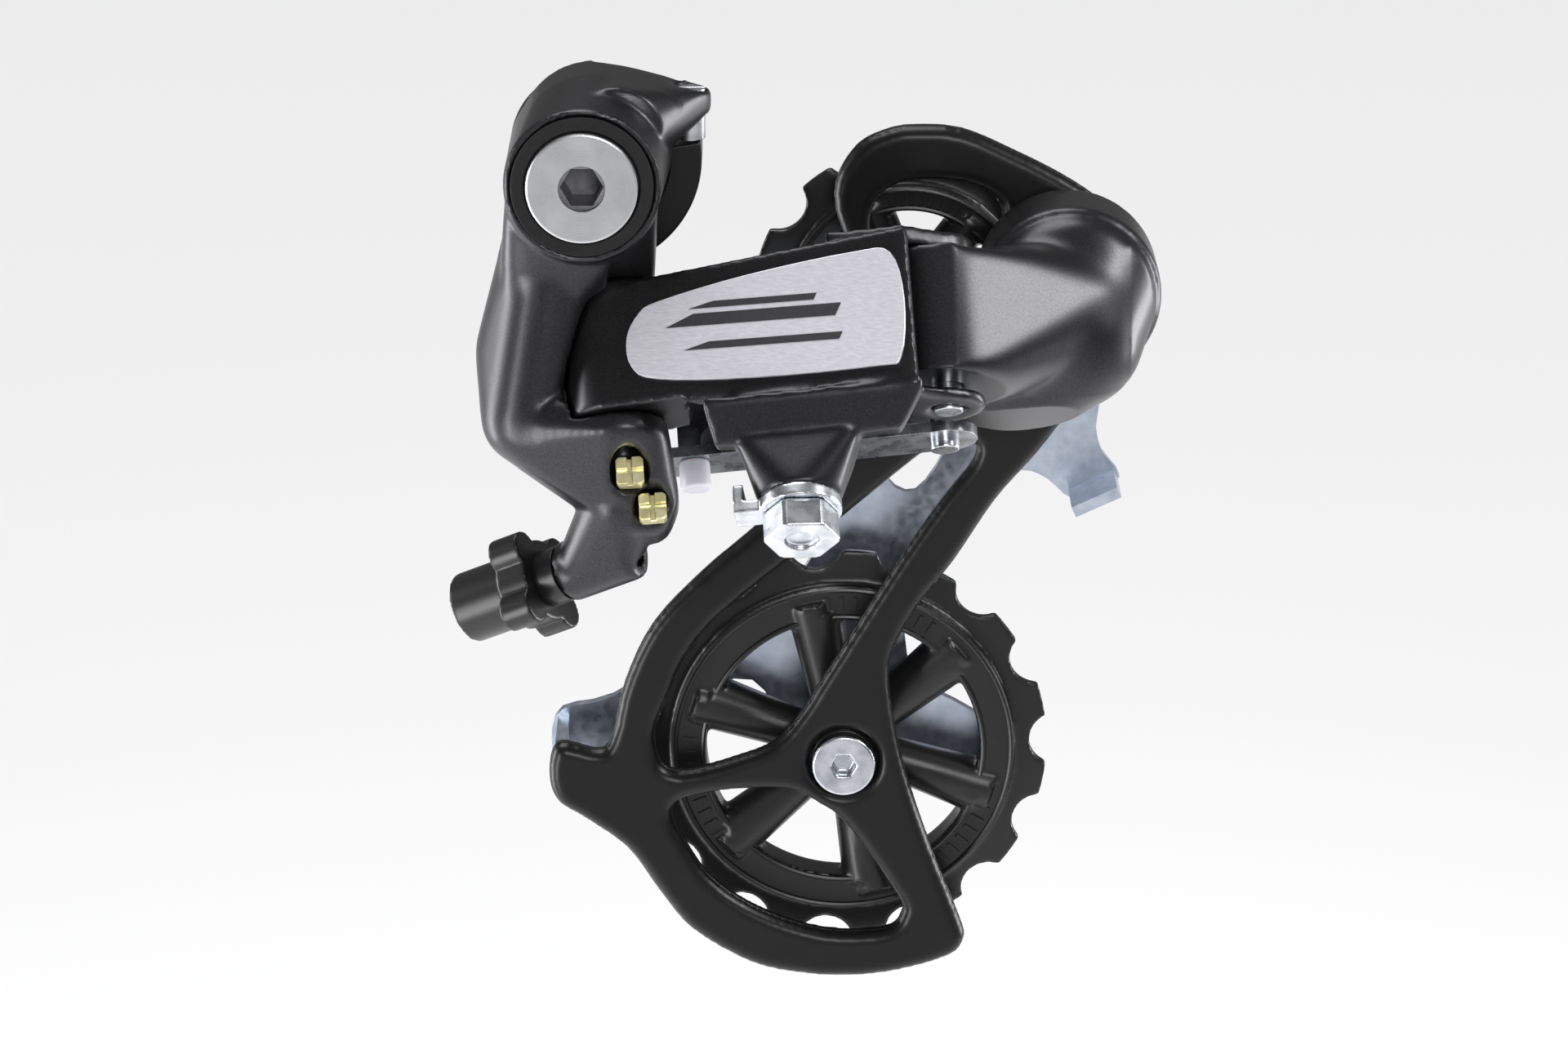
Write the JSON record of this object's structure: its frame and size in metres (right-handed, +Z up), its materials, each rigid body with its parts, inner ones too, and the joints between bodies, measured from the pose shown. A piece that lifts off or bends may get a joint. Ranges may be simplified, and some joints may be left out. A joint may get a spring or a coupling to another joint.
{
  "type": "rear derailleur",
  "caption": "Rear bicycle derailleur with slant parallelogram linkage, sprung knuckles, barrel adjuster, cable clamp and long pulley cage.",
  "frame": {"origin": "hanger bolt axis at the hanger's outer face", "axes": "+X forward, +Y inboard along the hanger bolt, +Z up"},
  "size_m": [0.0971, 0.067, 0.1376],
  "materials": {
    "polished_steel": "turned and polished",
    "zinc_steel": "bright zinc plate",
    "yellow_zinc": "yellow chromate",
    "satin_paint": "dark grey satin paint",
    "black_paint": "black satin paint",
    "black_nylon": "glass-filled nylon",
    "silver_plate": "silver satin",
    "pale_nylon": "moulded",
    "spring_steel": "drawn wire",
    "bronze": "sintered"
  },
  "bodies": {
    "hanger_side": {"mounting_bolt": "polished_steel", "stop_plate": "black_paint", "bolt_retaining_ring": "spring_steel"},
    "upper_knuckle": {"b_knuckle": "satin_paint", "bolt_seal_ring": "black_nylon", "b_bush": "bronze", "b_spring": "spring_steel", "adjuster_collar": "black_nylon", "adjuster_spring": "spring_steel", "pin_a": "zinc_steel"},
    "b_screw": {"b_tension_screw": "zinc_steel"},
    "high_screw": {"limit_screw_high": "yellow_zinc"},
    "low_screw": {"limit_screw_low": "yellow_zinc"},
    "adjuster": {"barrel_adjuster": "black_nylon", "cable_adjusting_bolt": "zinc_steel"},
    "outer_link": {"outer_link": "black_paint", "name_plate": "silver_plate", "pin_c": "zinc_steel", "cable_clamp_washer": "zinc_steel", "cable_clamp_bolt": "zinc_steel"},
    "inner_link": {"inner_link": "zinc_steel", "pin_b": "zinc_steel", "pin_d": "zinc_steel", "limit_stop_pad": "pale_nylon"},
    "lower_knuckle": {"p_knuckle": "satin_paint", "p_spring": "spring_steel", "link_return_spring": "spring_steel"},
    "cage": {"p_axle": "zinc_steel", "p_seal_washer": "black_nylon", "cage_stop_pin": "zinc_steel", "outer_cage_plate": "black_paint", "inner_cage_plate": "zinc_steel", "guide_bush": "spring_steel", "guide_cap_outer": "zinc_steel", "guide_cap_inner": "zinc_steel", "guide_bolt": "zinc_steel", "tension_bush": "spring_steel", "tension_cap_outer": "zinc_steel", "tension_cap_inner": "zinc_steel", "tension_bolt": "zinc_steel"},
    "guide_pulley": {"guide_pulley": "black_nylon"},
    "tension_pulley": {"tension_pulley": "black_nylon"}
  },
  "joints": [
    {"name": "upper_pivot", "type": "hinge", "parent": "hanger_side", "child": "upper_knuckle", "pos_m": [0, 0, 0], "axis": [0, -1, 0], "range_deg": [0, 20], "stiffness_Nm_per_rad": 0.6, "springref_deg": -34.38},
    {"name": "link_swing", "type": "hinge", "parent": "upper_knuckle", "child": "outer_link", "pos_m": [0.0043, -0.016, -0.0256], "axis": [-0.0698, 0.5864, 0.807], "range_deg": [0, 60], "stiffness_Nm_per_rad": 0.25, "springref_deg": -40.11},
    {"name": "inner_link_swing", "type": "hinge", "parent": "upper_knuckle", "child": "inner_link", "pos_m": [0.0043, -0.00306, -0.03501], "axis": [-0.0698, 0.5864, 0.807], "range_deg": [0, 60]},
    {"name": "lower_knuckle_swing", "type": "hinge", "parent": "outer_link", "child": "lower_knuckle", "pos_m": [0.04746, -0.01791, -0.02049], "axis": [-0.0698, 0.5864, 0.807], "range_deg": [-60, 0]},
    {"name": "cage_pivot", "type": "hinge", "parent": "lower_knuckle", "child": "cage", "pos_m": [0.06516, 0.0064, -0.02019], "axis": [0, -1, 0], "range_deg": [0, 110], "stiffness_Nm_per_rad": 0.3, "springref_deg": -57.3},
    {"name": "guide_spin", "type": "hinge", "parent": "cage", "child": "guide_pulley", "pos_m": [0.04366, 0.015, -0.02579], "axis": [0, -1, 0], "continuous": true},
    {"name": "tension_spin", "type": "hinge", "parent": "cage", "child": "tension_pulley", "pos_m": [0.03491, 0.015, -0.09221], "axis": [0, -1, 0], "continuous": true},
    {"name": "adjuster_turn", "type": "hinge", "parent": "upper_knuckle", "child": "adjuster", "pos_m": [-0.00896, -0.01191, -0.05935], "axis": [-0.8369, 0.3381, -0.4305], "continuous": true},
    {"name": "high_screw_turn", "type": "hinge", "parent": "upper_knuckle", "child": "high_screw", "pos_m": [0.00599, -0.02512, -0.03816], "axis": [0, -0.809, 0.5878], "continuous": true},
    {"name": "low_screw_turn", "type": "hinge", "parent": "upper_knuckle", "child": "low_screw", "pos_m": [0.00897, -0.02747, -0.04139], "axis": [0, -0.809, 0.5878], "continuous": true},
    {"name": "b_screw_turn", "type": "hinge", "parent": "upper_knuckle", "child": "b_screw", "pos_m": [0.014, -0.0056, 0.006], "axis": [0, 0, 1], "continuous": true}
  ],
  "couplings": [
    {"joint": "inner_link_swing", "follows": "link_swing", "ratio": 1},
    {"joint": "lower_knuckle_swing", "follows": "link_swing", "ratio": -1}
  ]
}
